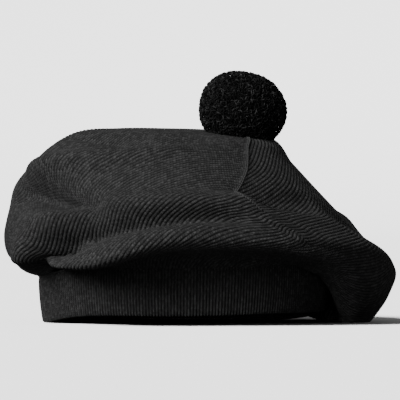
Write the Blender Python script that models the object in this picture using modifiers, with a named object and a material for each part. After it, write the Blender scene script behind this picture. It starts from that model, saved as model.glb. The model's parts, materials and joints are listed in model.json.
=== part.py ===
"""A knitted tam o shanter: a full crown, a ribbed headband and a pompom, each one closed solid.

Units are metres, +Z is up and +X runs to the side where the crown flops down. The origin lies on the surface
that the hat rests on, under the middle of its bounding box. Angles go round the hat seen from above, from 0 at
+X (right) through 90 at +Y (back) and 180 (left) to 270 (front).
"""

from collections import namedtuple
from math import atan, pi, sin

import bmesh
import bpy
import numpy as np
from mathutils import Matrix, Vector

GAP = 0.0003

BAND_MIDDLE_X = -0.011
BAND_HALF_LENGTH = 0.101
BAND_HALF_WIDTH = 0.080
BAND_HEIGHT = 0.032
BAND_WALL = 0.0034
BAND_DRAW_IN = 0.003
BAND_COLUMNS = 72
BAND_ROWS = 3

CROWN_WALL = 0.0026
CROWN_COLUMNS = 80
CROWN_ROWS = 32
CROWN_REACH = 0.244

# The crown is widest at this length of cloth from the pompom, about this far from its axis.
RIM_DOWN = 0.190
RIM_RADIUS = 0.120
POINTS_ON_A_FOLD = 33

# The folds push the cloth square to its face, but down by no more than this share where it faces the ground, so
# that the cloth on both sides of the rim moves together.
UNDERSIDE_FALL = -0.3

SEAT_CENTRE = Vector((0.028, -0.008, 0.1300))
SEAT_RADIUS = 0.020
SEAT_FALL_RIGHT = 0.115
SEAT_RISE_BACK = 0.083

POMPOM_HALF_WIDTH = 0.0290
POMPOM_HALF_HEIGHT = 0.0252
POMPOM_LIFT = 0.0185
LOCK_LENGTH = 0.0025
LOCK_UNEVENNESS = 0.35
GOLDEN_ANGLE = 2.4

WOOL = (0.020, 0.020, 0.021, 1.0)
POMPOM_WOOL = (0.013, 0.013, 0.014, 1.0)

DIRECTIONS = 8

# How far the headband's lower edge lies above the surface, in the eight directions from right round to front right.
BAND_LIFT = (0.0070, 0.0005, -0.0010, -0.0010, -0.0020, 0.0055, 0.0060, 0.0075)

# A ring is one closed line round the crown. "down" is the length of cloth from the pompom to it. The four reaches
# are its outermost x and y, and the eight heights run from right round to front right.
Ring = namedtuple("Ring", "name down left right front back heights")

RINGS = (
    Ring("top", 0.050, -0.022, 0.066, -0.056, 0.042,
         (0.108, 0.120, 0.132, 0.135, 0.1340, 0.130, 0.123, 0.113)),
    Ring("crest", 0.085, -0.057, 0.088, -0.086, 0.074,
         (0.085, 0.101, 0.127, 0.133, 0.1345, 0.122, 0.110, 0.094)),
    Ring("brow", 0.118, -0.092, 0.106, -0.107, 0.100,
         (0.067, 0.082, 0.115, 0.125, 0.131, 0.108, 0.097, 0.080)),
    Ring("shoulder", 0.148, -0.117, 0.128, -0.119, 0.117,
         (0.048, 0.062, 0.098, 0.109, 0.109, 0.090, 0.085, 0.066)),
    Ring("rim", 0.170, -0.128, 0.137, -0.124, 0.124,
         (0.036, 0.046, 0.080, 0.091, 0.090, 0.074, 0.073, 0.055)),
    Ring("roll", 0.189, -0.134, 0.134, -0.127, 0.125,
         (0.024, 0.032, 0.062, 0.072, 0.073, 0.059, 0.066, 0.050)),
    Ring("turn", 0.203, -0.136, 0.127, -0.127, 0.121,
         (0.012, 0.020, 0.049, 0.057, 0.059, 0.045, 0.060, 0.047)),
    Ring("edge", 0.210, -0.135, 0.120, -0.123, 0.117,
         (0.005, 0.013, 0.042, 0.049, 0.052, 0.040, 0.053, 0.045)),
    Ring("under", 0.223, -0.130, 0.106, -0.107, 0.105,
         (-0.003, 0.004, 0.037, 0.039, 0.043, 0.038, 0.050, 0.044)),
    Ring("tuck", 0.236, -0.120, 0.097, -0.089, 0.091,
         (0.008, 0.016, 0.034, 0.034, 0.035, 0.038, 0.045, 0.042)),
)

# A fold is a ridge (height above 0) or a valley (below 0) along a curved line on the crown, given by its start,
# middle and end as (angle in degrees, down), with its height at each. Width is how far it spreads to each side.
Fold = namedtuple("Fold", "name start middle end width heights")

FOLDS = (
    Fold("brow_ridge", (190, 0.154), (209, 0.128), (242, 0.082), 0.014, (0.003, 0.006, 0.004)),
    Fold("top_dimple", (187, 0.122), (204, 0.106), (230, 0.088), 0.016, (-0.004, -0.007, -0.004)),
    Fold("top_valley", (217, 0.092), (228, 0.074), (242, 0.056), 0.012, (-0.003, -0.004, -0.002)),
    Fold("side_valley", (187, 0.165), (208, 0.158), (232, 0.160), 0.016, (-0.005, -0.009, -0.005)),
    Fold("side_ridge", (203, 0.214), (212, 0.193), (228, 0.166), 0.015, (0.003, 0.006, 0.004)),
    Fold("front_ridge", (240, 0.157), (259, 0.152), (281, 0.146), 0.014, (0.005, 0.005, 0.004)),
    Fold("side_hollow", (214, 0.232), (220, 0.208), (232, 0.186), 0.018, (-0.005, -0.008, -0.006)),
    Fold("front_valley", (237, 0.184), (253, 0.176), (278, 0.165), 0.015, (-0.005, -0.005, -0.003)),
    Fold("lower_roll", (237, 0.209), (251, 0.203), (270, 0.193), 0.016, (0.004, 0.006, 0.003)),
    Fold("roll_hem", (232, 0.213), (243, 0.211), (254, 0.207), 0.014, (0.001, 0.003, 0.002)),
    Fold("right_ridge", (278, 0.139), (288, 0.153), (298, 0.163), 0.012, (0.003, 0.004, 0.002)),
    Fold("right_dimple", (286, 0.122), (298, 0.116), (312, 0.110), 0.015, (-0.003, -0.006, -0.004)),
    Fold("flop_foot", (336, 0.214), (352, 0.217), (372, 0.222), 0.011, (0.003, 0.006, 0.003)),
    Fold("flop_valley", (332, 0.118), (350, 0.138), (368, 0.164), 0.016, (-0.003, -0.005, -0.003)),
    Fold("flop_ridge", (302, 0.176), (320, 0.166), (342, 0.158), 0.013, (0.002, 0.003, 0.002)),
    Fold("back_right_ridge", (20, 0.120), (45, 0.140), (68, 0.168), 0.013, (0.004, 0.007, 0.004)),
    Fold("back_valley", (48, 0.110), (80, 0.140), (112, 0.150), 0.014, (-0.003, -0.008, -0.004)),
    Fold("back_ridge", (70, 0.108), (100, 0.124), (134, 0.118), 0.013, (0.003, 0.006, 0.003)),
    Fold("back_roll", (72, 0.182), (100, 0.176), (128, 0.186), 0.015, (0.004, 0.007, 0.004)),
    Fold("back_left_valley", (120, 0.176), (142, 0.164), (166, 0.146), 0.015, (-0.004, -0.008, -0.003)),
    Fold("back_left_ridge", (134, 0.196), (154, 0.180), (176, 0.166), 0.013, (0.004, 0.006, 0.003)),
)


def round_the_hat(values, angles):
    """Reads the eight values given round the hat at any angle, on a smooth closed curve."""
    values = np.asarray(values)
    place = np.mod(angles / (2 * pi) * DIRECTIONS, DIRECTIONS)
    first = np.floor(place).astype(int) % DIRECTIONS
    t = place - np.floor(place)
    before, here, after, beyond = (values[(first + step) % DIRECTIONS] for step in (-1, 0, 1, 2))
    return here + 0.5 * t * (
        after - before + t * (2 * before - 5 * here + 4 * after - beyond + t * (3 * (here - after) + beyond - before))
    )


def oval(left, right, front, back, heights, angles):
    """Points of an oval ring with the given reaches and heights."""
    return np.stack([
        (left + right) / 2 + (right - left) / 2 * np.cos(angles),
        (front + back) / 2 + (back - front) / 2 * np.sin(angles),
        round_the_hat(heights, angles),
    ], axis=-1)


def band_oval(angles, height, draw_in=0.0):
    """Points of the headband's outer face at a height above its lower edge."""
    half_length = BAND_HALF_LENGTH - draw_in
    half_width = BAND_HALF_WIDTH - draw_in
    left, right = BAND_MIDDLE_X - half_length, BAND_MIDDLE_X + half_length
    points = oval(left, right, -half_width, half_width, BAND_LIFT, angles)
    points[..., 2] = np.maximum(points[..., 2], 0) + height
    return points


def seat_ring(radius, angles):
    """Points round the pompom's flat seat, which slopes down to the right and the front."""
    along_x = radius * np.cos(angles)
    along_y = radius * np.sin(angles)
    rise = SEAT_RISE_BACK * along_y - SEAT_FALL_RIGHT * along_x
    return np.stack([SEAT_CENTRE.x + along_x, SEAT_CENTRE.y + along_y, SEAT_CENTRE.z + rise], axis=-1)


def crown_body(angles, downs):
    """The crown's outer face without its folds: a smooth curve through the rings at each angle."""
    sections = [seat_ring(0.0, angles), seat_ring(SEAT_RADIUS, angles)]
    knots = [0.0, SEAT_RADIUS]
    for ring in RINGS:
        sections.append(oval(ring.left, ring.right, ring.front, ring.back, ring.heights, angles))
        knots.append(ring.down)
    sections.append(band_oval(angles, BAND_HEIGHT + GAP))
    knots.append(CROWN_REACH)
    sections, knots = np.array(sections), np.array(knots)
    slopes = np.gradient(sections, knots, axis=0)
    slopes[:2] = (sections[1] - sections[0]) / SEAT_RADIUS
    last = np.clip(np.searchsorted(knots, downs, side="right"), 1, len(knots) - 1)
    columns = np.arange(len(angles))
    step = (knots[last] - knots[last - 1])[:, None]
    t = (downs - knots[last - 1])[:, None] / step
    start, end = sections[last - 1, columns], sections[last, columns]
    return (
        (1 + 2 * t) * (1 - t) ** 2 * start
        + t ** 2 * (3 - 2 * t) * end
        + t * (1 - t) ** 2 * step * slopes[last - 1, columns]
        + t ** 2 * (t - 1) * step * slopes[last, columns]
    )


def fold_push(angles, downs):
    """How far the folds push the cloth out, or in where it is below 0."""
    push = np.zeros_like(downs)
    radius = RIM_RADIUS * np.sin(np.clip(downs / RIM_DOWN, 0, 1) * pi / 2)
    t = np.linspace(0, 1, POINTS_ON_A_FOLD)
    through_three = np.stack([(1 - t) * (1 - 2 * t), 4 * t * (1 - t), t * (2 * t - 1)], axis=-1)
    for fold in FOLDS:
        line = through_three @ np.array([fold.start, fold.middle, fold.end])
        height = through_three @ np.array(fold.heights)
        turn = np.mod(angles[:, None] - np.radians(line[:, 0]) + pi, 2 * pi) - pi
        far = np.hypot(turn * radius[:, None], downs[:, None] - line[:, 1])
        push += height[far.argmin(axis=1)] * np.exp(-(far.min(axis=1) / fold.width) ** 2)
    return push


def crown_face(columns, downs):
    """Grid of points on the crown's outer face, one row for each length of cloth in downs."""
    angles = np.arange(columns) * 2 * pi / columns
    grid_angles, grid_downs = np.meshgrid(angles, downs)
    body = crown_body(grid_angles.ravel(), grid_downs.ravel()).reshape(len(downs), columns, 3)
    across = np.roll(body, -1, axis=1) - np.roll(body, 1, axis=1)
    along = np.gradient(body, downs, axis=0)
    outward = np.cross(along, across)
    outward /= np.linalg.norm(outward, axis=-1, keepdims=True)
    outward[..., 2] = np.maximum(outward[..., 2], UNDERSIDE_FALL)
    push = fold_push(grid_angles.ravel(), grid_downs.ravel()).reshape(len(downs), columns)
    points = body + outward * push[..., None]
    points[..., 2] = np.maximum(points[..., 2], 0)
    return points


def material(name, colour, roughness):
    """A plain wool material."""
    wool = bpy.data.materials.new(name)
    wool.use_nodes = True
    shader = wool.node_tree.nodes["Principled BSDF"]
    shader.inputs["Base Color"].default_value = colour
    shader.inputs["Roughness"].default_value = roughness
    shader.inputs["Metallic"].default_value = 0.0
    return wool


def new_object(name, form, wool, collection):
    """Turns a bmesh into an object with smooth shading and one material."""
    mesh = bpy.data.meshes.new(name)
    form.to_mesh(mesh)
    form.free()
    mesh.materials.append(wool)
    mesh.shade_smooth()
    thing = bpy.data.objects.new(name, mesh)
    collection.objects.link(thing)
    return thing


def add_wall(thing, thickness):
    """Gives an open surface a wall on its inner side."""
    wall = thing.modifiers.new("wall", "SOLIDIFY")
    wall.thickness = thickness
    wall.offset = -1
    wall.use_even_offset = False


def loft(form, rows):
    """Skins a list of closed rings of points, each joined to the next."""
    rings = [[form.verts.new(point) for point in row] for row in rows]
    for ring, next_ring in zip(rings, rings[1:]):
        for i in range(len(ring)):
            j = (i + 1) % len(ring)
            form.faces.new((ring[i], ring[j], next_ring[j], next_ring[i]))
    return rings


def make_crown(wool, collection):
    """The knitted crown, from its edge on the headband over the rim and up to the pompom's seat."""
    downs = np.linspace(CROWN_REACH / CROWN_ROWS, CROWN_REACH, CROWN_ROWS)
    form = bmesh.new()
    rings = loft(form, crown_face(CROWN_COLUMNS, downs))
    middle = form.faces.new(rings[0])
    bmesh.ops.poke(form, faces=[middle])
    bmesh.ops.recalc_face_normals(form, faces=form.faces)
    crown = new_object("crown", form, wool, collection)
    add_wall(crown, CROWN_WALL)
    return crown


def make_headband(wool, collection):
    """The oval headband, drawn in a little at its lower edge."""
    angles = np.arange(BAND_COLUMNS) * 2 * pi / BAND_COLUMNS
    rows = []
    for level in np.linspace(0, 1, BAND_ROWS):
        rows.append(band_oval(angles, BAND_HEIGHT * level, BAND_DRAW_IN * (1 - level) ** 2))
    form = bmesh.new()
    loft(form, rows)
    bmesh.ops.recalc_face_normals(form, faces=form.faces)
    band = new_object("headband", form, wool, collection)
    add_wall(band, BAND_WALL)
    return band


def make_pompom(wool, collection):
    """A ball of yarn locks, flat where it sits on the crown."""
    seat_level = GAP - POMPOM_LIFT
    form = bmesh.new()
    bmesh.ops.create_icosphere(form, subdivisions=3, radius=1.0)
    bmesh.ops.scale(form, vec=(POMPOM_HALF_WIDTH, POMPOM_HALF_WIDTH, POMPOM_HALF_HEIGHT), verts=form.verts)
    for vertex in form.verts:
        vertex.co.z = max(vertex.co.z, seat_level)
    locks = [face for face in form.faces if max(vertex.co.z for vertex in face.verts) > seat_level + GAP]
    tips = bmesh.ops.poke(form, faces=locks)["verts"]
    for number, tip in enumerate(tips):
        length = LOCK_LENGTH * (1 + LOCK_UNEVENNESS * sin(number * GOLDEN_ANGLE))
        tip.co += tip.co.normalized() * length
        tip.co.z = max(tip.co.z, seat_level)
    lean = Matrix.Rotation(atan(SEAT_FALL_RIGHT), 4, "Y") @ Matrix.Rotation(atan(SEAT_RISE_BACK), 4, "X")
    place = Matrix.Translation(SEAT_CENTRE) @ lean @ Matrix.Translation((0, 0, POMPOM_LIFT))
    bmesh.ops.transform(form, matrix=place, verts=form.verts)
    bmesh.ops.recalc_face_normals(form, faces=form.faces)
    return new_object("pompom", form, wool, collection)


def main():
    for thing in list(bpy.data.objects):
        bpy.data.objects.remove(thing)
    collection = bpy.data.collections.new("tam_o_shanter")
    bpy.context.scene.collection.children.link(collection)
    make_headband(material("ribbed_wool", WOOL, 0.9), collection)
    make_crown(material("knitted_wool", WOOL, 0.9), collection)
    make_pompom(material("pompom_wool", POMPOM_WOOL, 0.95), collection)


main()
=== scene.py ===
"""The looks of a knitted tam o shanter: ribbed wedges of wool, a ribbed headband and a curly pompom.

Units are metres, +Z is up and +X runs to the side where the crown flops down. Angles are given in degrees
and go round the hat seen from above, from 0 at +X (right) through 90 at +Y (back) and 180 (left) to 270
(front). "Down" is the length of cloth from the middle of the pompom's seat.
"""

import json
from collections import namedtuple
from math import atan, pi, radians

import bmesh
import bpy
import numpy as np
from mathutils import Matrix, Vector

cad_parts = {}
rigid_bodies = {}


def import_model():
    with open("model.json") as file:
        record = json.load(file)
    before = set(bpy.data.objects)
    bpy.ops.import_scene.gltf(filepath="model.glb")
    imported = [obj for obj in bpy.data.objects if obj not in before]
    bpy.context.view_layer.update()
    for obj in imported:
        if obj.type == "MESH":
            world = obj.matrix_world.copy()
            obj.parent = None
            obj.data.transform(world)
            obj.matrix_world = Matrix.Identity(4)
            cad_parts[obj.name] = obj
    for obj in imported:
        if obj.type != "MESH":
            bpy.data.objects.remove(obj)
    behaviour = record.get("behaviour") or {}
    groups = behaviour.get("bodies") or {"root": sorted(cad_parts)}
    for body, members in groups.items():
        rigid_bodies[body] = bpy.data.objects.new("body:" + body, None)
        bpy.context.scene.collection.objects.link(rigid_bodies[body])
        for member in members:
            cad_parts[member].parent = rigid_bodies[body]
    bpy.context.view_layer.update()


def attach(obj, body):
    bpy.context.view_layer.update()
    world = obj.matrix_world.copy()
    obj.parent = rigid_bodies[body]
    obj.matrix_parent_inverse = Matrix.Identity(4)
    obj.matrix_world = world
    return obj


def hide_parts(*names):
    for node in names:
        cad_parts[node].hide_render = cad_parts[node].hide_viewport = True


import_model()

BODY = "root"

# The main shape. Its sizes and rings are the part's own. Its folds are sharper than the solids can carry.

GAP = 0.0003

BAND_MIDDLE_X = -0.011
BAND_HALF_LENGTH = 0.101
BAND_HALF_WIDTH = 0.080
BAND_HEIGHT = 0.032
BAND_WALL = 0.0034
BAND_DRAW_IN = 0.003

CROWN_WALL = 0.0026
CROWN_REACH = 0.244

# For the spread of a fold and the width of a wedge, the crown counts as a dome of this radius at its rim.
RIM_DOWN = 0.190
RIM_RADIUS = 0.120
POINTS_ON_A_FOLD = 97

# A fold pushes the cloth square to its face, but no more than this steeply down on the underside.
UNDERSIDE_FALL = -0.3

SEAT_CENTRE = Vector((0.028, -0.008, 0.1300))
SEAT_RADIUS = 0.020
SEAT_FALL_RIGHT = 0.115
SEAT_RISE_BACK = 0.083

POMPOM_HALF_WIDTH = 0.0290
POMPOM_HALF_HEIGHT = 0.0252
POMPOM_LIFT = 0.0185

# How full the pompom is seen from the front, from the right round over the top to the left and below.
POMPOM_FULLNESS = (1.02, 0.99, 0.98, 1.05, 1.02, 1.07, 1.0, 1.06)

# The headband's lower edge above the surface, in eight directions from right round to front right. What is
# below 0 counts as 0.
BAND_LIFT = (0.0070, 0.0005, -0.0010, -0.0010, -0.0020, 0.0055, 0.0060, 0.0075)

# A ring is one closed line round the crown. "down" is the length of cloth from the pompom to it. The four
# reaches are its outermost x and y, and the eight heights run from right round to front right.
Ring = namedtuple("Ring", "name down left right front back heights")

RINGS = (
    Ring("top", 0.050, -0.022, 0.066, -0.056, 0.042,
         (0.108, 0.120, 0.132, 0.135, 0.1340, 0.130, 0.123, 0.113)),
    Ring("crest", 0.085, -0.057, 0.088, -0.086, 0.074,
         (0.085, 0.101, 0.127, 0.133, 0.1345, 0.122, 0.110, 0.094)),
    Ring("brow", 0.118, -0.092, 0.106, -0.107, 0.100,
         (0.067, 0.082, 0.115, 0.125, 0.131, 0.108, 0.097, 0.080)),
    Ring("shoulder", 0.148, -0.117, 0.128, -0.119, 0.117,
         (0.048, 0.062, 0.098, 0.109, 0.109, 0.090, 0.085, 0.066)),
    Ring("rim", 0.170, -0.128, 0.137, -0.124, 0.124,
         (0.036, 0.046, 0.080, 0.091, 0.090, 0.074, 0.073, 0.055)),
    Ring("roll", 0.189, -0.134, 0.134, -0.127, 0.125,
         (0.024, 0.032, 0.062, 0.072, 0.073, 0.059, 0.066, 0.050)),
    Ring("turn", 0.203, -0.136, 0.127, -0.127, 0.121,
         (0.012, 0.020, 0.049, 0.057, 0.059, 0.045, 0.060, 0.047)),
    Ring("edge", 0.210, -0.135, 0.120, -0.123, 0.117,
         (0.005, 0.013, 0.042, 0.049, 0.052, 0.040, 0.053, 0.045)),
    Ring("under", 0.223, -0.130, 0.106, -0.107, 0.105,
         (-0.003, 0.004, 0.037, 0.039, 0.043, 0.038, 0.050, 0.044)),
    Ring("tuck", 0.236, -0.120, 0.097, -0.089, 0.091,
         (0.008, 0.016, 0.034, 0.034, 0.035, 0.038, 0.045, 0.042)),
)

# A fold is a ridge (height above 0) or a valley (below 0) along a curved line on the crown, given by its
# start, middle and end as (angle in degrees, down), with its height at each. Width is how far it spreads to
# each side.
Fold = namedtuple("Fold", "name start middle end width heights")

FOLDS = (
    Fold("brow_ridge", (187, 0.156), (209, 0.128), (242, 0.082), 0.010, (0.003, 0.007, 0.004)),
    Fold("top_dimple", (179, 0.117), (191, 0.100), (208, 0.085), 0.012, (-0.003, -0.006, -0.003)),
    Fold("top_valley", (217, 0.092), (228, 0.074), (242, 0.056), 0.012, (-0.003, -0.004, -0.002)),
    Fold("side_valley", (187, 0.168), (208, 0.158), (232, 0.160), 0.012, (-0.006, -0.011, -0.005)),
    Fold("side_ridge", (203, 0.218), (212, 0.193), (228, 0.164), 0.012, (0.004, 0.008, 0.006)),
    Fold("front_ridge", (240, 0.157), (259, 0.152), (281, 0.146), 0.011, (0.005, 0.005, 0.004)),
    Fold("side_hollow", (213, 0.236), (219, 0.208), (232, 0.184), 0.014, (-0.007, -0.010, -0.006)),
    Fold("front_valley", (235, 0.186), (250, 0.178), (278, 0.165), 0.011, (-0.005, -0.006, -0.004)),
    Fold("lower_roll", (237, 0.211), (251, 0.203), (270, 0.193), 0.013, (0.003, 0.006, 0.003)),
    Fold("roll_hem", (230, 0.213), (241, 0.211), (252, 0.207), 0.010, (0.001, 0.006, 0.003)),
    Fold("right_ridge", (278, 0.139), (288, 0.153), (298, 0.163), 0.009, (0.003, 0.004, 0.002)),
    Fold("right_dimple", (286, 0.122), (298, 0.116), (312, 0.110), 0.013, (-0.004, -0.006, -0.004)),
    Fold("flop_foot", (336, 0.214), (352, 0.217), (372, 0.222), 0.011, (0.003, 0.006, 0.003)),
    Fold("flop_valley", (332, 0.118), (350, 0.138), (368, 0.164), 0.016, (-0.003, -0.005, -0.003)),
    Fold("flop_ridge", (302, 0.176), (320, 0.166), (342, 0.158), 0.013, (0.002, 0.003, 0.002)),
    Fold("back_right_ridge", (20, 0.120), (45, 0.140), (68, 0.168), 0.013, (0.004, 0.007, 0.004)),
    Fold("back_valley", (48, 0.110), (80, 0.140), (112, 0.150), 0.014, (-0.003, -0.008, -0.004)),
    Fold("back_ridge", (70, 0.108), (100, 0.124), (134, 0.118), 0.013, (0.003, 0.006, 0.003)),
    Fold("back_roll", (72, 0.182), (100, 0.176), (128, 0.186), 0.015, (0.004, 0.007, 0.004)),
    Fold("back_left_valley", (120, 0.176), (142, 0.164), (166, 0.146), 0.011, (-0.005, -0.009, -0.004)),
    Fold("back_left_ridge", (134, 0.196), (154, 0.180), (176, 0.166), 0.013, (0.004, 0.006, 0.003)),
)

# Creases too fine for the solids, in the same columns. Most of them sharpen one of the folds.
CREASES = (
    Fold("top_crease", (179, 0.117), (191, 0.101), (208, 0.086), 0.008, (-0.003, -0.005, -0.002)),
    Fold("side_crease", (187, 0.166), (208, 0.157), (232, 0.159), 0.008, (-0.005, -0.010, -0.004)),
    Fold("side_lip", (187, 0.148), (203, 0.137), (222, 0.124), 0.007, (0.002, 0.0035, 0.002)),
    Fold("front_lip", (203, 0.184), (215, 0.175), (234, 0.163), 0.006, (0.002, 0.004, 0.002)),
    Fold("roll_pocket", (210, 0.242), (219, 0.205), (231, 0.186), 0.009, (-0.012, -0.017, -0.005)),
    Fold("front_crease", (235, 0.186), (250, 0.178), (278, 0.165), 0.008, (-0.005, -0.005, -0.002)),
    Fold("front_hem", (236, 0.212), (262, 0.204), (306, 0.207), 0.007, (0.002, 0.0045, 0.002)),
    Fold("right_crease", (286, 0.130), (297, 0.127), (312, 0.124), 0.007, (-0.003, -0.005, -0.002)),
    Fold("flop_hem", (306, 0.207), (326, 0.209), (345, 0.211), 0.006, (0.002, 0.003, 0.001)),
)

# Where the crown is gathered into the headband. Each row of waves has its count round the hat, its turn in
# radians and its depth.
Wave = namedtuple("Wave", "count turn depth")
GATHERS = (Wave(17, 0.4, 0.0011), Wave(29, 1.9, 0.0008), Wave(43, 4.1, 0.0004))
GATHERS_FROM = 0.212
GATHERS_FULL = 0.230

# The knit. The crown is worked as wedges, and the ribs of a wedge lie side by side across it.

RIB_PITCH = 0.0026
RIB_HEIGHT = 0.00042
STITCH_LENGTH = 0.0016
ROWS_ON_A_RIB = 4
COLUMN_WIDTH = 0.0034
BORDER_WIDTH = 0.0014
BORDER_CROWDING = 0.5
ROWS_DOWN = 95
FIT_ROUNDS = 6
FIT_STEPS = 160
SHARP_EDGE = 75
RIB_ROUNDNESS = 0.8
RIB_UNEVENNESS = 0.35
LUMPS_TO_A_METRE = 220.0

BAND_RIBS = 285
COLUMNS_ON_A_BAND_RIB = 4
BAND_COLUMNS = BAND_RIBS * COLUMNS_ON_A_BAND_RIB
BAND_RIB_HEIGHT = 0.0007
BAND_RIB_UNEVENNESS = 0.4
BAND_ROWS = 12
BAND_EDGE = 0.0009
BAND_EDGE_FADE = 0.3
JOINING_SIDES = 8
JOINING_HALF_WIDTH = 0.0022
JOINING_HALF_HEIGHT = 0.0011

# Where each wedge's first border lies, as the angle at each of these lengths of cloth down. The wedges follow
# each other clockwise. A lean is the angle between the wedge's ribs and the rings, at its first and at its
# last border.
KNIT_DOWNS = (0.030, 0.110, 0.140, 0.155, 0.170, 0.190, 0.244)
Wedge = namedtuple("Wedge", "name border first_leans last_leans")

PLAIN_FIRST_LEANS = (10, 10, 10, 10, 10, 10, 8)
PLAIN_LAST_LEANS = (60, 60, 60, 60, 58, 54, 44)
WEDGES = (
    Wedge("front_left_wedge", (284, 282, 278, 287, 297, 303, 305),
          (18, 18, 20, 24, 28, 30, 30), (86, 86, 86, 86, 84, 80, 72)),
    Wedge("left_wedge", (176, 173, 172, 172, 172, 173, 176), PLAIN_FIRST_LEANS, PLAIN_LAST_LEANS),
    Wedge("back_left_wedge", (132, 130, 128, 127, 127, 128, 130), PLAIN_FIRST_LEANS, PLAIN_LAST_LEANS),
    Wedge("back_wedge", (88, 87, 86, 85, 85, 86, 87), PLAIN_FIRST_LEANS, PLAIN_LAST_LEANS),
    Wedge("right_wedge", (40, 41, 41, 42, 42, 43, 44), PLAIN_FIRST_LEANS, PLAIN_LAST_LEANS),
    Wedge("front_right_wedge", (-18, -14, -10, -8, -6, -4, -4),
          (6, 6, 6, 8, 10, 12, 10), (70, 60, 52, 36, 30, 30, 30)),
)

# Between those lengths of cloth, borders and leans are read at this many points and eased over a few of them.
EASE_POINTS = 245
EASE_SPAN = 17

# The grafted seam stands on a low welt, and both end where the front fold begins. The other borders have
# finer turning stitches.
WELT_HEIGHT = 0.0008
WELT_WIDTH = 0.0016
SEAM_START = 0.016
SEAM_END = 0.153
SEAM_FADE = 0.010
TURNING_END = 0.242
SEAM_POINTS = 240
SEAM_STITCH = {"Length": 0.0027, "Width": 0.0010, "Thickness": 0.0008}
SEAM_STITCH_LEAN = 24
TURNING_FINENESS = 0.6

# The pompom's heart, as a share of its full size, and the curls over it.
HEART_SHARE = 0.93
BALL_SUBDIVISIONS = 5
CURLS = {"Spacing": 0.0012, "Radius": 0.0010, "Yarn": 0.00036, "Depth": 0.0020, "Seed": 11}

# Lumps of each kind to a metre, and the height of the fuzz.
FIBRES_TO_A_METRE = 1900.0
PATCHES_TO_A_METRE = 90.0
TWISTS_TO_A_METRE = 700.0
TUFTS_TO_A_METRE = 300.0
CURLS_TO_A_METRE = 620.0
FUZZ_HEIGHT = 0.0004

# The studio: a round floor, the sweep of its rim and the wall above, and how pale it is to the camera and
# to all other light.
FLOOR_RADIUS = 6.5
FLOOR_SWEEP = 2.5
FLOOR_WALL = 3.0
FLOOR_SIDES = 96
SWEEP_STEPS = 12
FLOOR_TONES = (0.88, 0.12)
SKY_STRENGTH = 0.14

# Each lamp is a sun, with the direction that it shines from, its strength, its spread in degrees and the
# things that it lights.
Lamp = namedtuple("Lamp", "name place strength spread lit")
LAMPS = (
    Lamp("hat_light", (-0.62, -0.62, 0.48), 13.8, 36, "hat"),
    Lamp("low_light", (-0.15, -0.98, 0.14), 1.3, 26, "hat"),
    Lamp("side_light", (0.95, 0.05, 0.25), 0.7, 40, "hat"),
    Lamp("back_light", (0.1, 0.95, 0.22), 6.0, 40, "hat"),
    Lamp("floor_light", (-0.88, -0.75, 1.2), 12.0, 20, "stage"),
)

# The photo's view: level with the hat, from far off.
PICTURE_WIDTH = 0.2788
CAMERA_DISTANCE = 3.0
CAMERA_X = 0.0002
CAMERA_HEIGHT = 0.0850
SENSOR_WIDTH = 36.0


def round_the_hat(values, angles):
    """Reads values given evenly round the hat at any angle, on a smooth closed curve."""
    values = np.asarray(values)
    count = len(values)
    place = np.mod(angles / (2 * pi) * count, count)
    first = np.floor(place).astype(int) % count
    t = place - np.floor(place)
    before, here, after, beyond = (values[(first + step) % count] for step in (-1, 0, 1, 2))
    square = 2 * before - 5 * here + 4 * after - beyond
    cube = 3 * (here - after) + beyond - before
    return here + 0.5 * t * (after - before + t * (square + t * cube))


def oval(left, right, front, back, heights, angles):
    """Points of an oval ring with the given reaches and heights."""
    return np.stack([
        (left + right) / 2 + (right - left) / 2 * np.cos(angles),
        (front + back) / 2 + (back - front) / 2 * np.sin(angles),
        round_the_hat(heights, angles),
    ], axis=-1)


def band_oval(angles, height, draw_in=0.0):
    """Points of the headband's face at a height above its lower edge, drawn in from its outer face."""
    half_length = BAND_HALF_LENGTH - draw_in
    half_width = BAND_HALF_WIDTH - draw_in
    left, right = BAND_MIDDLE_X - half_length, BAND_MIDDLE_X + half_length
    points = oval(left, right, -half_width, half_width, BAND_LIFT, angles)
    points[..., 2] = np.maximum(points[..., 2], 0) + height
    return points


def seat_ring(radius, angles):
    """Points round the pompom's flat seat, which slopes down to the right and the front."""
    along_x = radius * np.cos(angles)
    along_y = radius * np.sin(angles)
    rise = SEAT_RISE_BACK * along_y - SEAT_FALL_RIGHT * along_x
    return np.stack([SEAT_CENTRE.x + along_x, SEAT_CENTRE.y + along_y, SEAT_CENTRE.z + rise], axis=-1)


def crown_body(angles, downs):
    """The crown's outer face without its folds: a smooth curve through the rings at each angle."""
    sections = [seat_ring(0.0, angles), seat_ring(SEAT_RADIUS, angles)]
    knots = [0.0, SEAT_RADIUS]
    for ring in RINGS:
        sections.append(oval(ring.left, ring.right, ring.front, ring.back, ring.heights, angles))
        knots.append(ring.down)
    sections.append(band_oval(angles, BAND_HEIGHT + GAP))
    knots.append(CROWN_REACH)
    sections, knots = np.array(sections), np.array(knots)
    slopes = np.gradient(sections, knots, axis=0)
    slopes[:2] = (sections[1] - sections[0]) / SEAT_RADIUS
    last = np.clip(np.searchsorted(knots, downs, side="right"), 1, len(knots) - 1)
    columns = np.arange(len(angles))
    step = (knots[last] - knots[last - 1])[:, None]
    t = (downs - knots[last - 1])[:, None] / step
    start, end = sections[last - 1, columns], sections[last, columns]
    return (
        (1 + 2 * t) * (1 - t) ** 2 * start
        + t ** 2 * (3 - 2 * t) * end
        + t * (1 - t) ** 2 * step * slopes[last - 1, columns]
        + t ** 2 * (t - 1) * step * slopes[last, columns]
    )


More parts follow.
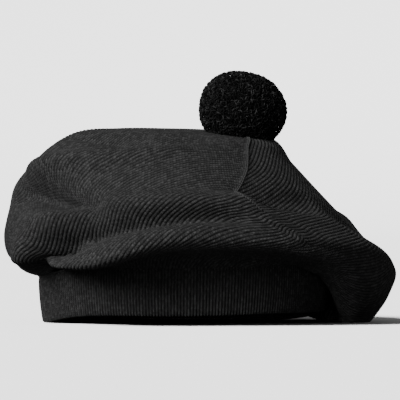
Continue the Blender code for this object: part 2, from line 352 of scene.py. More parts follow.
def fold_push(angles, downs):
    """How far the folds push the cloth out, or in where it is below 0."""
    push = np.zeros_like(downs)
    radius = RIM_RADIUS * np.sin(np.clip(downs / RIM_DOWN, 0, 1) * pi / 2)
    t = np.linspace(0, 1, POINTS_ON_A_FOLD)
    through_three = np.stack([(1 - t) * (1 - 2 * t), 4 * t * (1 - t), t * (2 * t - 1)], axis=-1)
    for fold in FOLDS + CREASES:
        line = through_three @ np.array([fold.start, fold.middle, fold.end])
        height = through_three @ np.array(fold.heights)
        reach = 3 * fold.width
        near = np.flatnonzero((downs > line[:, 1].min() - reach) & (downs < line[:, 1].max() + reach))
        turn = np.mod(angles[near, None] - np.radians(line[:, 0]) + pi, 2 * pi) - pi
        far = np.hypot(turn * radius[near, None], downs[near, None] - line[:, 1])
        push[near] += height[far.argmin(axis=1)] * np.exp(-(far.min(axis=1) / fold.width) ** 2)
    gathered = np.clip((downs - GATHERS_FROM) / (GATHERS_FULL - GATHERS_FROM), 0, 1) ** 2
    gathered *= np.clip((CROWN_REACH - downs) / BORDER_WIDTH, 0, 1)
    for wave in GATHERS:
        push += gathered * wave.depth * np.sin(wave.count * angles + wave.turn)
    return push


def crown_points(angles, downs):
    """The crown's outer face at matching lists of angles and lengths of cloth, and which way it faces."""
    small_turn, small_step = 0.002, 0.0004
    body = crown_body(angles, downs)
    here = np.clip(downs, 2 * small_step, CROWN_REACH - small_step)
    across = crown_body(angles + small_turn, here) - crown_body(angles - small_turn, here)
    along = crown_body(angles, here + small_step) - crown_body(angles, here - small_step)
    outward = np.cross(along, across)
    outward /= np.linalg.norm(outward, axis=-1, keepdims=True)
    pushed = outward.copy()
    pushed[:, 2] = np.maximum(pushed[:, 2], UNDERSIDE_FALL)
    points = body + pushed * fold_push(angles, downs)[:, None]
    points[:, 2] = np.maximum(points[:, 2], 0)
    return points, outward


def at_down(values, downs):
    """Reads values given at the knit's lengths of cloth, eased between them."""
    fine = np.linspace(0, CROWN_REACH, EASE_POINTS)
    ease = np.hanning(EASE_SPAN)
    read = np.interp(fine, KNIT_DOWNS, values)
    read = np.convolve(np.pad(read, EASE_SPAN // 2, mode="edge"), ease / ease.sum(), mode="valid")
    return np.interp(downs, fine, read)


def wedge_grid(wedge, next_border):
    """Points over one wedge, by columns clockwise and rows down, with angles, lengths down and leans."""
    columns = round(radians(wedge.border[-2] - next_border[-2]) * RIM_RADIUS / COLUMN_WIDTH) + 1
    share = np.linspace(0, 1, columns)[:, None]
    share = share - BORDER_CROWDING * np.sin(2 * pi * share) / (2 * pi)
    downs = np.tile(np.linspace(0, CROWN_REACH, ROWS_DOWN), (columns, 1))
    angles = np.radians(at_down(wedge.border, downs) * (1 - share) + at_down(next_border, downs) * share)
    first_leans, last_leans = at_down(wedge.first_leans, downs), at_down(wedge.last_leans, downs)
    leans = np.radians(first_leans * (1 - share) + last_leans * share)
    points, _ = crown_points(angles.ravel(), downs.ravel())
    return points.reshape(columns, ROWS_DOWN, 3), angles, downs, leans


def unit(vectors):
    """Vectors with their lengths made 1."""
    return vectors / np.maximum(np.linalg.norm(vectors, axis=-1, keepdims=True), 1e-9)


def even_field(points, slopes, rounds):
    """Numbers over a grid of points, 0 in its first row, that rise as evenly as they can.

    They are fitted by least squares to unit slopes in the given directions, and then to unit slopes in the
    fit's own directions, so that what is read from them lies at an even pitch.
    """
    clockwise, down = np.gradient(points, axis=0), np.gradient(points, axis=1)
    width, height = (np.linalg.norm(side, axis=-1) + 1e-6 for side in (clockwise, down))
    weights = [middle(height / width, 0), middle(width / height, 1)]
    steps = [np.diff(points, axis=0), np.diff(points, axis=1)]
    long_way, short_way = np.sum(down * down, axis=-1), np.sum(clockwise * clockwise, axis=-1)
    skew = np.sum(down * clockwise, axis=-1)
    spread = np.maximum(long_way * short_way - skew ** 2, 1e-18)
    field = np.zeros(points.shape[:2])
    for _ in range(rounds):
        wanted = [np.sum(step * middle(slopes, axis), axis=-1) for axis, step in enumerate(steps)]
        field = least_squares(field, weights, wanted)
        rise_clockwise, rise_down = np.gradient(field, axis=0), np.gradient(field, axis=1)
        along_down = (short_way * rise_down - skew * rise_clockwise) / spread
        along_clockwise = (long_way * rise_clockwise - skew * rise_down) / spread
        slopes = unit(along_down[..., None] * down + along_clockwise[..., None] * clockwise)
    return field


def middle(values, axis):
    """Values half way between neighbours."""
    values = np.moveaxis(values, axis, 0)
    return np.moveaxis((values[1:] + values[:-1]) / 2, 0, axis)


def least_squares(field, weights, wanted):
    """Moves the field to the best fit of its wanted steps, by conjugate gradients. Its first row stays."""
    def pull(steps):
        """How each number is drawn by the steps beside it."""
        total = np.zeros_like(field)
        for axis, (weight, step) in enumerate(zip(weights, steps)):
            along = np.moveaxis(total, axis, 0)
            push = np.moveaxis(weight * step, axis, 0)
            along[:-1] -= push
            along[1:] += push
        total[:, 0] = 0
        return total

    def steps_of(values):
        """The steps between neighbours, clockwise and down."""
        return [np.diff(values, axis=axis) for axis in (0, 1)]

    scale = np.zeros_like(field)
    for axis, weight in enumerate(weights):
        along = np.moveaxis(scale, axis, 0)
        along[:-1] += np.moveaxis(weight, axis, 0)
        along[1:] += np.moveaxis(weight, axis, 0)
    left = pull(wanted) - pull(steps_of(field))
    eased = left / scale
    way = eased.copy()
    worth = np.sum(left * eased)
    field = field.copy()
    for _ in range(FIT_STEPS):
        change = pull(steps_of(way))
        share = worth / np.sum(way * change)
        field += share * way
        left -= share * change
        eased = left / scale
        new_worth = np.sum(left * eased)
        way = eased + new_worth / worth * way
        worth = new_worth
    return field


def crossings(places, start, end):
    """Where whole rows cross the edges from start to end: the first, how many, on which edge and how far."""
    low, high = np.minimum(places[start], places[end]), np.maximum(places[start], places[end])
    first = np.floor(low).astype(int) + 1
    counts = np.maximum(np.ceil(high).astype(int) - first, 0)
    edge = np.repeat(np.arange(len(start)), counts)
    levels = np.arange(len(edge)) - np.repeat(np.cumsum(counts) - counts, counts) + first[edge]
    here, there = places[start][edge], places[end][edge]
    return first, counts, edge, (levels - here) / (there - here)


def wedge_sheet(wedge, next_border):
    """One wedge of the crown as an open mesh, its cells cut along its ribs into rows."""
    points, angles, downs, leans = wedge_grid(wedge, next_border)
    down = unit(np.gradient(points, axis=1))
    clockwise = np.gradient(points, axis=0)
    clockwise = unit(clockwise - np.sum(clockwise * down, axis=-1, keepdims=True) * down)
    cos_lean, sin_lean = np.cos(leans)[..., None], np.sin(leans)[..., None]
    across = even_field(points, cos_lean * down - sin_lean * clockwise, FIT_ROUNDS)
    along = even_field(points, sin_lean * down + cos_lean * clockwise, 1)
    widths = np.cumsum(np.linalg.norm(np.diff(points, axis=0), axis=-1), axis=0)
    widths = np.concatenate([widths[:1] * 0, widths])
    border = np.minimum(widths, widths[-1] - widths)
    far_off = np.full_like(widths, np.inf)
    to_seam = {WEDGES[0]: widths, WEDGES[-1]: widths[-1] - widths}.get(wedge, far_off)
    welt = WELT_HEIGHT * np.exp(-(to_seam / WELT_WIDTH) ** 2) * np.clip((SEAM_END - downs) / SEAM_FADE, 0, 1)

    columns = len(points)
    nodes = np.arange(columns * ROWS_DOWN).reshape(columns, ROWS_DOWN)
    down_edges = nodes[:, :-1].ravel(), nodes[:, 1:].ravel()
    clockwise_edges = nodes[:-1].ravel(), nodes[1:].ravel()
    start, end = (np.concatenate(pair) for pair in zip(down_edges, clockwise_edges))
    row = across.ravel() * (ROWS_ON_A_RIB / RIB_PITCH)
    first, counts, edge, share = crossings(row, start, end)
    numbers = []
    for grid in (angles, downs, across, along, border, welt):
        at_nodes = grid.ravel()
        crossed = at_nodes[start][edge] * (1 - share) + at_nodes[end][edge] * share
        numbers.append(np.concatenate([at_nodes, crossed]))
    starts = (columns * ROWS_DOWN + np.cumsum(counts) - counts).tolist()
    first, counts, row = first.tolist(), counts.tolist(), np.floor(row).astype(int).tolist()
    rises = (across.ravel()[end] > across.ravel()[start]).tolist()

    def side(node, number, forward):
        """A cell's corner, then the points on its edge, each with the rows that it lies between."""
        yield node, row[node], row[node]
        steps = range(counts[number])
        for step in steps if rises[number] == forward else reversed(steps):
            yield starts[number] + step, first[number] + step - 1, first[number] + step

    faces = []
    downward = columns * (ROWS_DOWN - 1)
    for column in range(columns - 1):
        for line in range(ROWS_DOWN - 1):
            here, there = column * ROWS_DOWN + line, (column + 1) * ROWS_DOWN + line
            edge_here, edge_there = column * (ROWS_DOWN - 1) + line, (column + 1) * (ROWS_DOWN - 1) + line
            loop = [
                *side(here, downward + here, True), *side(there, edge_there, True),
                *side(there + 1, downward + here + 1, False), *side(here + 1, edge_here, False),
            ]
            for level in range(min(low for _, low, _ in loop), max(high for _, _, high in loop) + 1):
                face = [point for point, low, high in loop if low <= level <= high]
                if len(face) > 2:
                    faces.append(face)

    angles, downs, across, along, border, welt = numbers
    fades = np.clip(np.minimum(border, CROWN_REACH - downs) / BORDER_WIDTH, 0, 1)
    sheet_points, outward = crown_points(angles, downs)
    sheet_points += outward * welt[:, None]
    mesh = bpy.data.meshes.new(wedge.name)
    mesh.from_pydata(sheet_points.tolist(), [], faces)
    write_knit(mesh, across, fades, along / STITCH_LENGTH, across / RIB_PITCH)
    mend_centre(mesh)
    return mesh


def mend_centre(mesh):
    """Joins the wedge's points that meet at the crown's centre, and drops the faces that this closes."""
    form = bmesh.new()
    form.from_mesh(mesh)
    bmesh.ops.remove_doubles(form, verts=form.verts, dist=1e-6)
    form.to_mesh(mesh)
    form.free()


def write_knit(mesh, across, fades, stitches, ribs):
    """Stores where each point lies in the knit, as attributes for the ribs and a UV map for the stitches."""
    for name, values in (("across", across), ("fade", fades)):
        stored = mesh.attributes.new(name, "FLOAT", "POINT").data
        stored.foreach_set("value", np.asarray(values, np.float32))
    corners = np.zeros(len(mesh.loops), np.int32)
    mesh.loops.foreach_get("vertex_index", corners)
    places = np.stack([stitches, ribs], axis=-1)[corners]
    mesh.uv_layers.new(name="knit").data.foreach_set("uv", places.astype(np.float32).ravel())


def operator(operation, turned=False):
    """A method that adds a Math node, with its numbers turned round for a reflected operator."""
    def act(self, other):
        numbers = (other, self) if turned else (self, other)
        return self.nodes.maths(operation, *numbers)
    return act


class Value:
    """A number socket in arithmetic: each operator adds a Math node."""

    def __init__(self, nodes, socket):
        self.nodes = nodes
        self.socket = socket

    __add__ = __radd__ = operator("ADD")
    __sub__ = operator("SUBTRACT")
    __rsub__ = operator("SUBTRACT", turned=True)
    __mul__ = __rmul__ = operator("MULTIPLY")
    __truediv__ = operator("DIVIDE")
    __rtruediv__ = operator("DIVIDE", turned=True)
    __pow__ = operator("POWER")
    __rpow__ = operator("POWER", turned=True)

    # The number, held at or above another, or at or below it.
    above = operator("MAXIMUM")
    below = operator("MINIMUM")

    def __abs__(self):
        return self.nodes.maths("ABSOLUTE", self)

    def part(self):
        """What is left of the number above the last whole one."""
        return self.nodes.maths("FRACT", self)

    def sine(self):
        """The sine of the number."""
        return self.nodes.maths("SINE", self)


class Nodes:
    """Adds nodes to one tree."""

    def __init__(self, tree):
        self.tree = tree

    def add(self, kind, inputs=(), **settings):
        """Adds a node with its settings, then gives its sockets their values or links."""
        node = self.tree.nodes.new(kind)
        for name, value in settings.items():
            setattr(node, name, value)
        for name, value in dict(inputs).items():
            value = getattr(value, "socket", value)
            if isinstance(value, bpy.types.NodeSocket):
                self.tree.links.new(value, node.inputs[name])
            else:
                node.inputs[name].default_value = value
        return node

    def maths(self, operation, *numbers):
        """Adds a Math node with these numbers."""
        node = self.add("ShaderNodeMath", enumerate(numbers), operation=operation)
        return Value(self, node.outputs[0])

    def value(self, node, output=0):
        """One of a node's outputs, ready for arithmetic."""
        return Value(self, node.outputs[output])


class Tree(Nodes):
    """A Geometry Nodes tree with named inputs."""

    def __init__(self, name, **inputs):
        super().__init__(bpy.data.node_groups.new(name, "GeometryNodeTree"))
        interface = self.tree.interface
        interface.new_socket("Geometry", in_out="INPUT", socket_type="NodeSocketGeometry")
        interface.new_socket("Geometry", in_out="OUTPUT", socket_type="NodeSocketGeometry")
        for socket, kind in inputs.items():
            interface.new_socket(socket, in_out="INPUT", socket_type=f"NodeSocket{kind}")
        self.given = self.add("NodeGroupInput").outputs

    def read(self, name):
        """A named number stored on the geometry."""
        node = self.add("GeometryNodeInputNamedAttribute", {"Name": name}, data_type="FLOAT")
        return self.value(node, "Attribute")

    def end(self, geometry):
        """Realizes the instances, sets the material and closes the tree."""
        real = self.add("GeometryNodeRealizeInstances", {"Geometry": geometry})
        finished = self.add("GeometryNodeSetMaterial", {
            "Geometry": real.outputs[0], "Material": self.given["Wool"]
        })
        self.add("NodeGroupOutput", {"Geometry": finished.outputs[0]})
        return self.tree


def noise(nodes, place, to_a_metre, detail=1.0, roughness=0.5):
    """Cloudy unevenness between 0 and 1, with its size as lumps to a metre."""
    cloud = nodes.add("ShaderNodeTexNoise", {
        "Vector": place, "Scale": to_a_metre, "Detail": detail, "Roughness": roughness
    })
    return nodes.value(cloud, "Fac")


def rib_tree():
    """Raises the ribs of a knit along its face, each a little fuller or flatter than the next."""
    tree = Tree("knitted_ribs", Pitch="Float", Height="Float", Unevenness="Float", Wool="Material")
    pitch, height, unevenness = (Value(tree, tree.given[name]) for name in ("Pitch", "Height", "Unevenness"))
    crest = (tree.read("across") / pitch * pi).sine()
    place = tree.add("GeometryNodeInputPosition").outputs[0]
    fullness = 1 + unevenness * (noise(tree, place, LUMPS_TO_A_METRE) * 2 - 1)
    rise = (abs(crest) ** RIB_ROUNDNESS - 0.5) * height * fullness * tree.read("fade")
    normal = tree.add("GeometryNodeInputNormal").outputs[0]
    offset = tree.add("ShaderNodeVectorMath", {0: normal, "Scale": rise}, operation="SCALE")
    moved = tree.add(
        "GeometryNodeSetPosition", {"Geometry": tree.given["Geometry"], "Offset": offset.outputs[0]}
    )
    return tree.end(moved.outputs[0])


def lay_down(mesh):
    """Flattens what the ribs push below the surface that the hat rests on."""
    places = np.zeros(len(mesh.vertices) * 3, np.float32)
    mesh.vertices.foreach_get("co", places)
    places[2::3] = np.maximum(places[2::3], 0)
    mesh.vertices.foreach_set("co", places)


def through_nodes(thing, tree, **values):
    """Runs an object through a tree with the named inputs, and keeps the plain mesh that comes out."""
    modifier = thing.modifiers.new(tree.name, "NODES")
    modifier.node_group = tree
    for item in tree.interface.items_tree:
        if item.name in values:
            modifier[item.identifier] = values[item.name]
    graph = bpy.context.evaluated_depsgraph_get()
    mesh = bpy.data.meshes.new_from_object(thing.evaluated_get(graph), depsgraph=graph)
    thing.modifiers.clear()
    mesh.name = thing.name
    lay_down(mesh)
    thing.data = mesh


def new_thing(name, data):
    """A new object in the scene."""
    thing = bpy.data.objects.new(name, data)
    bpy.context.scene.collection.objects.link(thing)
    return thing


def dress(piece, node):
    """Attaches the piece to the hat's body and hides the piece of the frame that it stands for."""
    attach(piece, BODY)
    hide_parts(node)


def new_material(name):
    """An empty material, and what adds its nodes."""
    material = bpy.data.materials.new(name)
    material.use_nodes = True
    material.node_tree.nodes.clear()
    return material, Nodes(material.node_tree)


def matt_wool(name, tone, roughness, height, distance, speckle):
    """A matt wool with a soft nap. Height gives the yarn's relief and painted shade in its hollows; speckle
    how light each stitch or curl is.
    """
    material, nodes = new_material(name)
    place = nodes.add("ShaderNodeTexCoord").outputs["Object"]
    fibre = noise(nodes, place, FIBRES_TO_A_METRE, detail=3.0, roughness=0.6)
    patches = noise(nodes, place, PATCHES_TO_A_METRE, detail=2.0)
    relief = height(nodes)
    # Painted shade: the colour is darker where the relief is low, in the grooves between ribs and the hollows
    # between strands and curls.
    depth = relief.above(0).below(1)
    nap = fibre * 2.2 - 0.6
    shade = (0.38 * depth + 0.42 * nap + 0.08 * patches) * speckle(nodes)
    # The base colour: the tone with the painted shade of the hollows, the nap, the patches and the speckle.
    dye_and_hollow_shade = nodes.add(
        "ShaderNodeMix", {"Factor": shade, 6: (0, 0, 0, 1), 7: (tone, tone, tone, 1)}, data_type="RGBA"
    )
    uneven = fibre * 0.1 + (roughness - 0.05)
    yarn = nodes.add("ShaderNodeBump", {"Height": relief, "Distance": distance, "Strength": 1.0})
    fuzz = nodes.add("ShaderNodeBump", {
        "Height": fibre, "Distance": FUZZ_HEIGHT, "Strength": 0.6, "Normal": yarn.outputs[0]
    })
    shader = nodes.add("ShaderNodeBsdfPrincipled", {
        "Base Color": dye_and_hollow_shade.outputs[2],
        "Roughness": uneven,
        "Normal": fuzz.outputs[0],
        "Specular IOR Level": 0.0,
        "Sheen Weight": 0.01,
        "Sheen Roughness": 0.5,
        "Sheen Tint": (1, 1, 1, 1),
    })
    nodes.add("ShaderNodeOutputMaterial", {"Surface": shader.outputs[0]})
    return material


def stitch_relief(slant):
    """Relief of plain knit on a rib: two strands lean together at each stitch, with a groove between ribs."""
    def height(nodes):
        uv = nodes.add("ShaderNodeUVMap", uv_map="knit").outputs[0]
        split = nodes.add("ShaderNodeSeparateXYZ", {0: uv})
        stitch, rib = nodes.value(split, 0), nodes.value(split, 1)
        side = abs(rib.part() - 0.5) * 2
        strand = (stitch + side * slant).part()
        round_strand = (strand * pi).sine() ** 0.6
        return (1 - side ** 2.5) * (0.35 + 0.65 * round_strand)
    return height


def stitch_speckle(nodes):
    """How light each stitch is, since no two take the dye alike."""
    uv = nodes.add("ShaderNodeUVMap", uv_map="knit").outputs[0]
    half_ribs = nodes.add("ShaderNodeVectorMath", {0: uv, 1: (1.0, 2.0, 1.0)}, operation="MULTIPLY")
    stitch = nodes.add("ShaderNodeVectorMath", {0: half_ribs.outputs[0]}, operation="FLOOR")
    chance = nodes.add("ShaderNodeTexWhiteNoise", {"Vector": stitch.outputs[0]}, noise_dimensions="2D")
    return 0.74 + nodes.value(chance, "Value") ** 2.0 * 0.85


def twist_relief(nodes):
    """Relief of loosely twisted yarn."""
    place = nodes.add("ShaderNodeTexCoord").outputs["Object"]
    return noise(nodes, place, TWISTS_TO_A_METRE) * 1.6


def even_speckle(_nodes):
    """The same dye all over."""
    return 1.0


def curl_speckle(nodes):
    """How light each curl is: most are dark, the odd one catches the light, and tufts differ."""
    tone = nodes.value(nodes.add("ShaderNodeAttribute", attribute_name="tone"), "Fac")
    place = nodes.add("ShaderNodeTexCoord").outputs["Object"]
    tufts = noise(nodes, place, TUFTS_TO_A_METRE) * 3.2 - 0.65
    return (0.45 + tone ** 4.0 * 2.6) * tufts.above(0.25)


def curl_relief(nodes):
    """Relief of the pompom's curled yarn."""
    place = nodes.add("ShaderNodeTexCoord").outputs["Object"]
    curls = nodes.add("ShaderNodeTexVoronoi", {"Vector": place, "Scale": CURLS_TO_A_METRE})
    return 1 - nodes.value(curls, "Distance") * 1.2


def knitted_wool():
    """The crown's wool, knitted plain."""
    return matt_wool(
        "knitted_wool", tone=0.0237, roughness=0.9,
        height=stitch_relief(0.55), distance=0.0005, speckle=stitch_speckle,
    )


def ribbed_wool():
    """The headband's wool, painted a little darker than the crown's as shade under the crown's overhang, with
    steeper strands.
    """
    return matt_wool(
        "ribbed_wool", tone=0.0205, roughness=0.9,
        height=stitch_relief(0.8), distance=0.0004, speckle=stitch_speckle,
    )


def seam_wool():
    """The yarn that the seams are worked in, painted lighter than the crown as a highlight on the raised
    seams.
    """
    return matt_wool(
        "seam_wool", tone=0.036, roughness=0.9,
        height=twist_relief, distance=0.0002, speckle=even_speckle,
    )


def pompom_wool():
    """The pompom's cut yarn, the darkest wool of the hat."""
    return matt_wool(
        "pompom_wool", tone=0.0130, roughness=0.95,
        height=curl_relief, distance=0.0005, speckle=curl_speckle,
    )


def studio_white():
    """The floor's paint, nearly white to the camera and grey to all other light."""
    paint, nodes = new_material("studio_white")
    seen = nodes.add("ShaderNodeLightPath").outputs["Is Camera Ray"]
    white, grey = (
        nodes.add("ShaderNodeBsdfDiffuse", {"Color": (tone, tone, tone, 1)}).outputs[0]
        for tone in FLOOR_TONES
    )
    shader = nodes.add("ShaderNodeMixShader", {0: seen, 1: grey, 2: white})
    nodes.add("ShaderNodeOutputMaterial", {"Surface": shader.outputs[0]})
    return paint


def make_crown(tree, wool):
    """The crown's six knitted wedges."""
    borders = [wedge.border for wedge in WEDGES[1:]] + [tuple(angle - 360 for angle in WEDGES[0].border)]
    for wedge, next_border in zip(WEDGES, borders):
        piece = new_thing(wedge.name, wedge_sheet(wedge, next_border))
        wall = piece.modifiers.new("wall", "SOLIDIFY")
        wall.thickness = CROWN_WALL
        wall.offset = -1
        wall.use_even_offset = False
        through_nodes(piece, tree, Pitch=RIB_PITCH, Height=RIB_HEIGHT, Unevenness=RIB_UNEVENNESS, Wool=wool)
        piece.data.shade_smooth()
        piece.data.set_sharp_from_angle(angle=radians(SHARP_EDGE))
        dress(piece, "crown")


def make_headband(tree, wool):
    """The headband, with upright ribs on both faces and round edges."""
    face = np.linspace(BAND_EDGE, BAND_HEIGHT - BAND_EDGE, BAND_ROWS)
    shallow, deep = BAND_WALL * 0.25, BAND_WALL * 0.75
    profile = (
        [(0.0, height) for height in face[::-1]]
        + [(shallow, 0.0), (deep, 0.0)]
        + [(BAND_WALL, height) for height in face]
        + [(deep, BAND_HEIGHT), (shallow, BAND_HEIGHT)]
    )
    rows = []
    for depth, height in profile:
        taper = BAND_DRAW_IN * (1 - height / BAND_HEIGHT) ** 2
        rows.append(band_oval(band_angles(), height, depth + taper))
    heights = np.array([height for _, height in profile])
    fades = np.where(heights < BAND_HEIGHT - BAND_EDGE, 1.0, BAND_EDGE_FADE)
    make_ring("headband_ribs", rows, fades, heights, tree, wool)


def make_joining(tree, wool):
    """The course of stitches that joins the crown to the headband, as a slim roll over the joint."""
    rows = []
    for side in range(JOINING_SIDES):
        turn = -side * 2 * pi / JOINING_SIDES
        depth = BAND_WALL / 2 - JOINING_HALF_WIDTH * np.cos(turn)
        height = BAND_HEIGHT + GAP / 2 + JOINING_HALF_HEIGHT * np.sin(turn)
        rows.append(band_oval(band_angles(), height, depth))
    make_ring("joining_course", rows, np.ones(JOINING_SIDES), np.zeros(JOINING_SIDES), tree, wool)


def band_angles():
    """The angles of the columns round the headband."""
    return np.arange(BAND_COLUMNS) * 2 * pi / BAND_COLUMNS


def make_ring(name, rows, fades, heights, tree, wool):
    """A closed ring of upright ribs from rows of points round the headband, the last next to the first."""
    across = np.tile(np.arange(BAND_COLUMNS) / COLUMNS_ON_A_BAND_RIB, len(rows))
    fades, heights = np.repeat(fades, BAND_COLUMNS), np.repeat(heights, BAND_COLUMNS)
    faces = []
    for row in range(len(rows)):
        here, below = row * BAND_COLUMNS, (row + 1) % len(rows) * BAND_COLUMNS
        for column in range(BAND_COLUMNS):
            after = (column + 1) % BAND_COLUMNS
            faces.append((here + column, below + column, below + after, here + after))
    mesh = bpy.data.meshes.new(name)
    mesh.from_pydata(np.concatenate(rows).tolist(), [], faces)
    write_knit(mesh, across, fades, heights / STITCH_LENGTH, across)
    piece = new_thing(name, mesh)
    through_nodes(
        piece, tree, Pitch=1.0, Height=BAND_RIB_HEIGHT, Unevenness=BAND_RIB_UNEVENNESS, Wool=wool
    )
    piece.data.shade_smooth()
    dress(piece, "headband")


def seam_tree():
    """Lays pairs of slanted stitches along a line, each square to the cloth."""
    tree = Tree("seam_stitches", Length="Float", Width="Float", Thickness="Float", Wool="Material")
    length, width, thickness = (Value(tree, tree.given[name]) for name in ("Length", "Width", "Thickness"))
    line = tree.add("GeometryNodeMeshToCurve", {"Mesh": tree.given["Geometry"]})
    even = tree.add(
        "GeometryNodeResampleCurve", {"Curve": line.outputs[0], "Length": length * 0.7}, mode="LENGTH"
    )
    ball = tree.add("GeometryNodeMeshUVSphere", {"Segments": 6, "Rings": 4, "Radius": 0.5})
    size = tree.add("ShaderNodeCombineXYZ", {"X": length, "Y": width, "Z": thickness})
    strands = tree.add("GeometryNodeJoinGeometry")
    for side in (-1, 1):
        place = tree.add("ShaderNodeCombineXYZ", {"Y": width * (0.42 * side)})
        strand = tree.add("GeometryNodeTransform", {
            "Geometry": tree.add("GeometryNodeTransform", {
                "Geometry": ball.outputs[0], "Scale": size.outputs[0]
            }).outputs[0],
            "Translation": place.outputs[0],
            "Rotation": (0, 0, side * radians(SEAM_STITCH_LEAN)),
        })
        tree.tree.links.new(strand.outputs[0], strands.inputs[0])
    outward = tree.add("GeometryNodeInputNamedAttribute", {"Name": "outward"}, data_type="FLOAT_VECTOR")
    upright = tree.add("FunctionNodeAlignRotationToVector", {"Vector": outward.outputs[0]}, axis="Z")
    tangent = tree.add("GeometryNodeInputTangent")
    turned = tree.add(
        "FunctionNodeAlignRotationToVector",
        {"Rotation": upright.outputs[0], "Vector": tangent.outputs[0]},
        axis="X", pivot_axis="Z",
    )
    stitches = tree.add("GeometryNodeInstanceOnPoints", {
        "Points": even.outputs[0], "Instance": strands.outputs[0], "Rotation": turned.outputs[0]
    })
    smooth = tree.add("GeometryNodeSetShadeSmooth", {"Geometry": stitches.outputs[0]})
    return tree.end(smooth.outputs[0])


def make_seams(wool):
    """The grafted seam toward the viewer, and the finer turning stitches between the other wedges."""
    tree = seam_tree()
    for number, wedge in enumerate(WEDGES):
        downs = np.linspace(SEAM_START, SEAM_END if number == 0 else TURNING_END, SEAM_POINTS)
        points, outward = crown_points(np.radians(at_down(wedge.border, downs)), downs)
        if number == 0:
            points += outward * (WELT_HEIGHT * np.clip((SEAM_END - downs) / SEAM_FADE, 0, 1))[:, None]
        name = "grafted_seam" if number == 0 else f"turning_stitches_{number}"
        mesh = bpy.data.meshes.new(name)
        mesh.from_pydata(points.tolist(), [(i, i + 1) for i in range(len(points) - 1)], [])
        stored = mesh.attributes.new("outward", "FLOAT_VECTOR", "POINT").data
        stored.foreach_set("vector", outward.astype(np.float32).ravel())
        piece = new_thing(name, mesh)
        fineness = 1.0 if number == 0 else TURNING_FINENESS
        stitch = {side: size * fineness for side, size in SEAM_STITCH.items()}
        through_nodes(piece, tree, Wool=wool, **stitch)
        dress(piece, "crown")


def pompom_ball(share):
    """A ball over the pompom's seat at a share of its full size, flat underneath, leaned as the seat is."""
    form = bmesh.new()
    bmesh.ops.create_icosphere(form, subdivisions=BALL_SUBDIVISIONS, radius=1.0)
    size = (POMPOM_HALF_WIDTH * share, POMPOM_HALF_WIDTH * share, POMPOM_HALF_HEIGHT * share)
    bmesh.ops.scale(form, vec=size, verts=form.verts)
    for vertex in form.verts:
        fullness = float(round_the_hat(POMPOM_FULLNESS, np.arctan2(vertex.co.z, vertex.co.x)))
        vertex.co *= 1 + (fullness - 1) * (1 - abs(vertex.normal.y))
        vertex.co.z = max(vertex.co.z, GAP - POMPOM_LIFT)
    lean = Matrix.Rotation(atan(SEAT_FALL_RIGHT), 4, "Y") @ Matrix.Rotation(atan(SEAT_RISE_BACK), 4, "X")
    place = Matrix.Translation(SEAT_CENTRE) @ lean @ Matrix.Translation((0, 0, POMPOM_LIFT))
    bmesh.ops.transform(form, matrix=place, verts=form.verts)
    mesh = bpy.data.meshes.new("pompom")
    form.to_mesh(mesh)
    form.free()
    mesh.shade_smooth()
    return mesh


def curl_tree():
    """Covers a ball with short curls of yarn, each turned its own way."""
    tree = Tree(
        "yarn_curls",
        Spacing="Float", Radius="Float", Yarn="Float", Depth="Float", Seed="Int", Wool="Material",
    )
    given = tree.given
    dots = tree.add("GeometryNodeDistributePointsOnFaces", {
        "Mesh": given["Geometry"],
        "Distance Min": given["Spacing"],
        "Density Max": 900000.0,
        "Seed": given["Seed"],
    }, distribute_method="POISSON")
    arc = tree.add("GeometryNodeCurveArc", {
        "Resolution": 7, "Radius": given["Radius"], "Start Angle": radians(-35), "Sweep Angle": radians(250)
    }, mode="RADIUS")
    yarn = tree.add(
        "GeometryNodeCurvePrimitiveCircle", {"Resolution": 4, "Radius": given["Yarn"]}, mode="RADIUS"
    )
    curl = tree.add("GeometryNodeCurveToMesh", {
        "Curve": arc.outputs[0], "Profile Curve": yarn.outputs[0], "Fill Caps": True
    })
    stood = tree.add("GeometryNodeTransform", {"Geometry": curl.outputs[0], "Rotation": (radians(90), 0, 0)})
    sink = tree.add("FunctionNodeRandomValue", {"Min": -1.0, "Max": 0.15, "Seed": 3}, data_type="FLOAT")
    normal = tree.add("GeometryNodeInputNormal").outputs[0]
    depth = tree.value(sink, "Value") * Value(tree, given["Depth"])
    offset = tree.add("ShaderNodeVectorMath", {0: normal, "Scale": depth}, operation="SCALE")
    moved = tree.add("GeometryNodeSetPosition", {"Geometry": dots.outputs[0], "Offset": offset.outputs[0]})
    spin = tree.add("FunctionNodeRandomValue", {
        0: (-0.6, -0.6, -pi), 1: (0.6, 0.6, pi), "Seed": 5
    }, data_type="FLOAT_VECTOR")
    turned = tree.add("FunctionNodeRotateRotation", {
        "Rotation": dots.outputs["Rotation"],
        "Rotate By": tree.add("FunctionNodeEulerToRotation", {0: spin.outputs["Value"]}).outputs[0],
    }, rotation_space="LOCAL")
    size = tree.add("FunctionNodeRandomValue", {"Min": 0.7, "Max": 1.35, "Seed": 7}, data_type="FLOAT")
    curls = tree.add("GeometryNodeInstanceOnPoints", {
        "Points": moved.outputs[0],
        "Instance": stood.outputs[0],
        "Rotation": turned.outputs[0],
        "Scale": tree.value(size, "Value"),
    })
    tone = tree.add("FunctionNodeRandomValue", {2: 0.0, 3: 1.0, "Seed": 9}, data_type="FLOAT")
    toned = tree.add("GeometryNodeStoreNamedAttribute", {
        "Geometry": curls.outputs[0], "Name": "tone", "Value": tree.value(tone, 1)
    }, data_type="FLOAT", domain="INSTANCE")
    smooth = tree.add("GeometryNodeSetShadeSmooth", {"Geometry": toned.outputs[0]})
    return tree.end(smooth.outputs[0])


def make_pompom(wool):
    """The pompom: a dense heart of yarn and the curls that stand out of it."""
    heart = new_thing("pompom_heart", pompom_ball(HEART_SHARE))
    heart.data.materials.append(wool)
    dress(heart, "pompom")
    curls = new_thing("pompom_curls", pompom_ball(1.0))
    through_nodes(curls, curl_tree(), Wool=wool, **CURLS)
    dress(curls, "pompom")


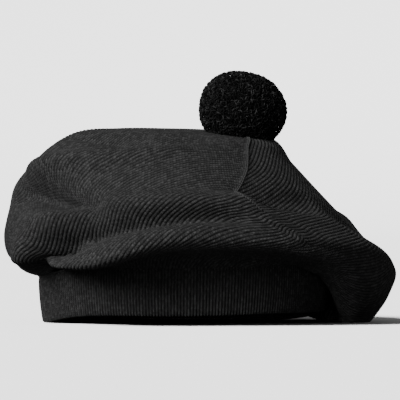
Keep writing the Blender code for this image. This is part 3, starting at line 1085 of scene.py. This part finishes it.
def make_stage():
    """A pale floor that curves up all round, so that it meets no edge in any view."""
    turns = np.linspace(0, pi / 2, SWEEP_STEPS + 1)
    rings = [(FLOOR_RADIUS + FLOOR_SWEEP * np.sin(turn), FLOOR_SWEEP * (1 - np.cos(turn))) for turn in turns]
    rings.append((FLOOR_RADIUS + FLOOR_SWEEP, FLOOR_SWEEP + FLOOR_WALL))
    angles = np.arange(FLOOR_SIDES) * 2 * pi / FLOOR_SIDES
    points = [(0.0, 0.0, 0.0)]
    faces = []
    for number, (radius, height) in enumerate(rings):
        points += [(radius * np.cos(angle), radius * np.sin(angle), height) for angle in angles]
        here = 1 + number * FLOOR_SIDES
        before = here - FLOOR_SIDES
        for side in range(FLOOR_SIDES):
            after = (side + 1) % FLOOR_SIDES
            if number:
                faces.append((before + side, here + side, here + after, before + after))
            else:
                faces.append((0, here + side, here + after))
    mesh = bpy.data.meshes.new("studio_floor")
    mesh.from_pydata(points, [], faces)
    mesh.shade_smooth()
    floor = new_thing("studio_floor", mesh)
    mesh.materials.append(studio_white())


def make_lights():
    """Soft light from the upper left in front, with fainter lamps all round and a faint white sky.

    The dark hat and the pale floor are lit apart, and only the hat casts shadows.
    """
    sets = {name: bpy.data.collections.new(name) for name in ("stage", "hat")}
    for thing in bpy.context.scene.objects:
        if thing.type == "MESH":
            sets["stage" if thing.name == "studio_floor" else "hat"].objects.link(thing)
    for lamp in LAMPS:
        light = bpy.data.lights.new(lamp.name, "SUN")
        light.energy = lamp.strength
        light.angle = radians(lamp.spread)
        sun = new_thing(lamp.name, light)
        sun.rotation_euler = (-Vector(lamp.place)).to_track_quat("-Z", "Y").to_euler()
        sun.light_linking.receiver_collection = sets[lamp.lit]
        sun.light_linking.blocker_collection = sets["hat"]
    world = bpy.data.worlds.new("studio")
    bpy.context.scene.world = world
    world.use_nodes = True
    sky = world.node_tree.nodes["Background"].inputs
    sky["Color"].default_value = (1, 1, 1, 1)
    sky["Strength"].default_value = SKY_STRENGTH


def make_camera():
    """The camera that takes the photo's view."""
    camera = bpy.data.cameras.new("camera")
    camera.sensor_width = SENSOR_WIDTH
    camera.lens = SENSOR_WIDTH * CAMERA_DISTANCE / PICTURE_WIDTH
    eye = new_thing("camera", camera)
    eye.location = (CAMERA_X, -CAMERA_DISTANCE, CAMERA_HEIGHT)
    eye.rotation_euler = (pi / 2, 0, 0)
    bpy.context.scene.camera = eye


def main():
    """Makes the studio and the hat in it."""
    make_camera()
    make_stage()
    ribs = rib_tree()
    make_crown(ribs, knitted_wool())
    band_wool = ribbed_wool()
    make_headband(ribs, band_wool)
    make_joining(ribs, band_wool)
    make_seams(seam_wool())
    make_pompom(pompom_wool())
    make_lights()


main()
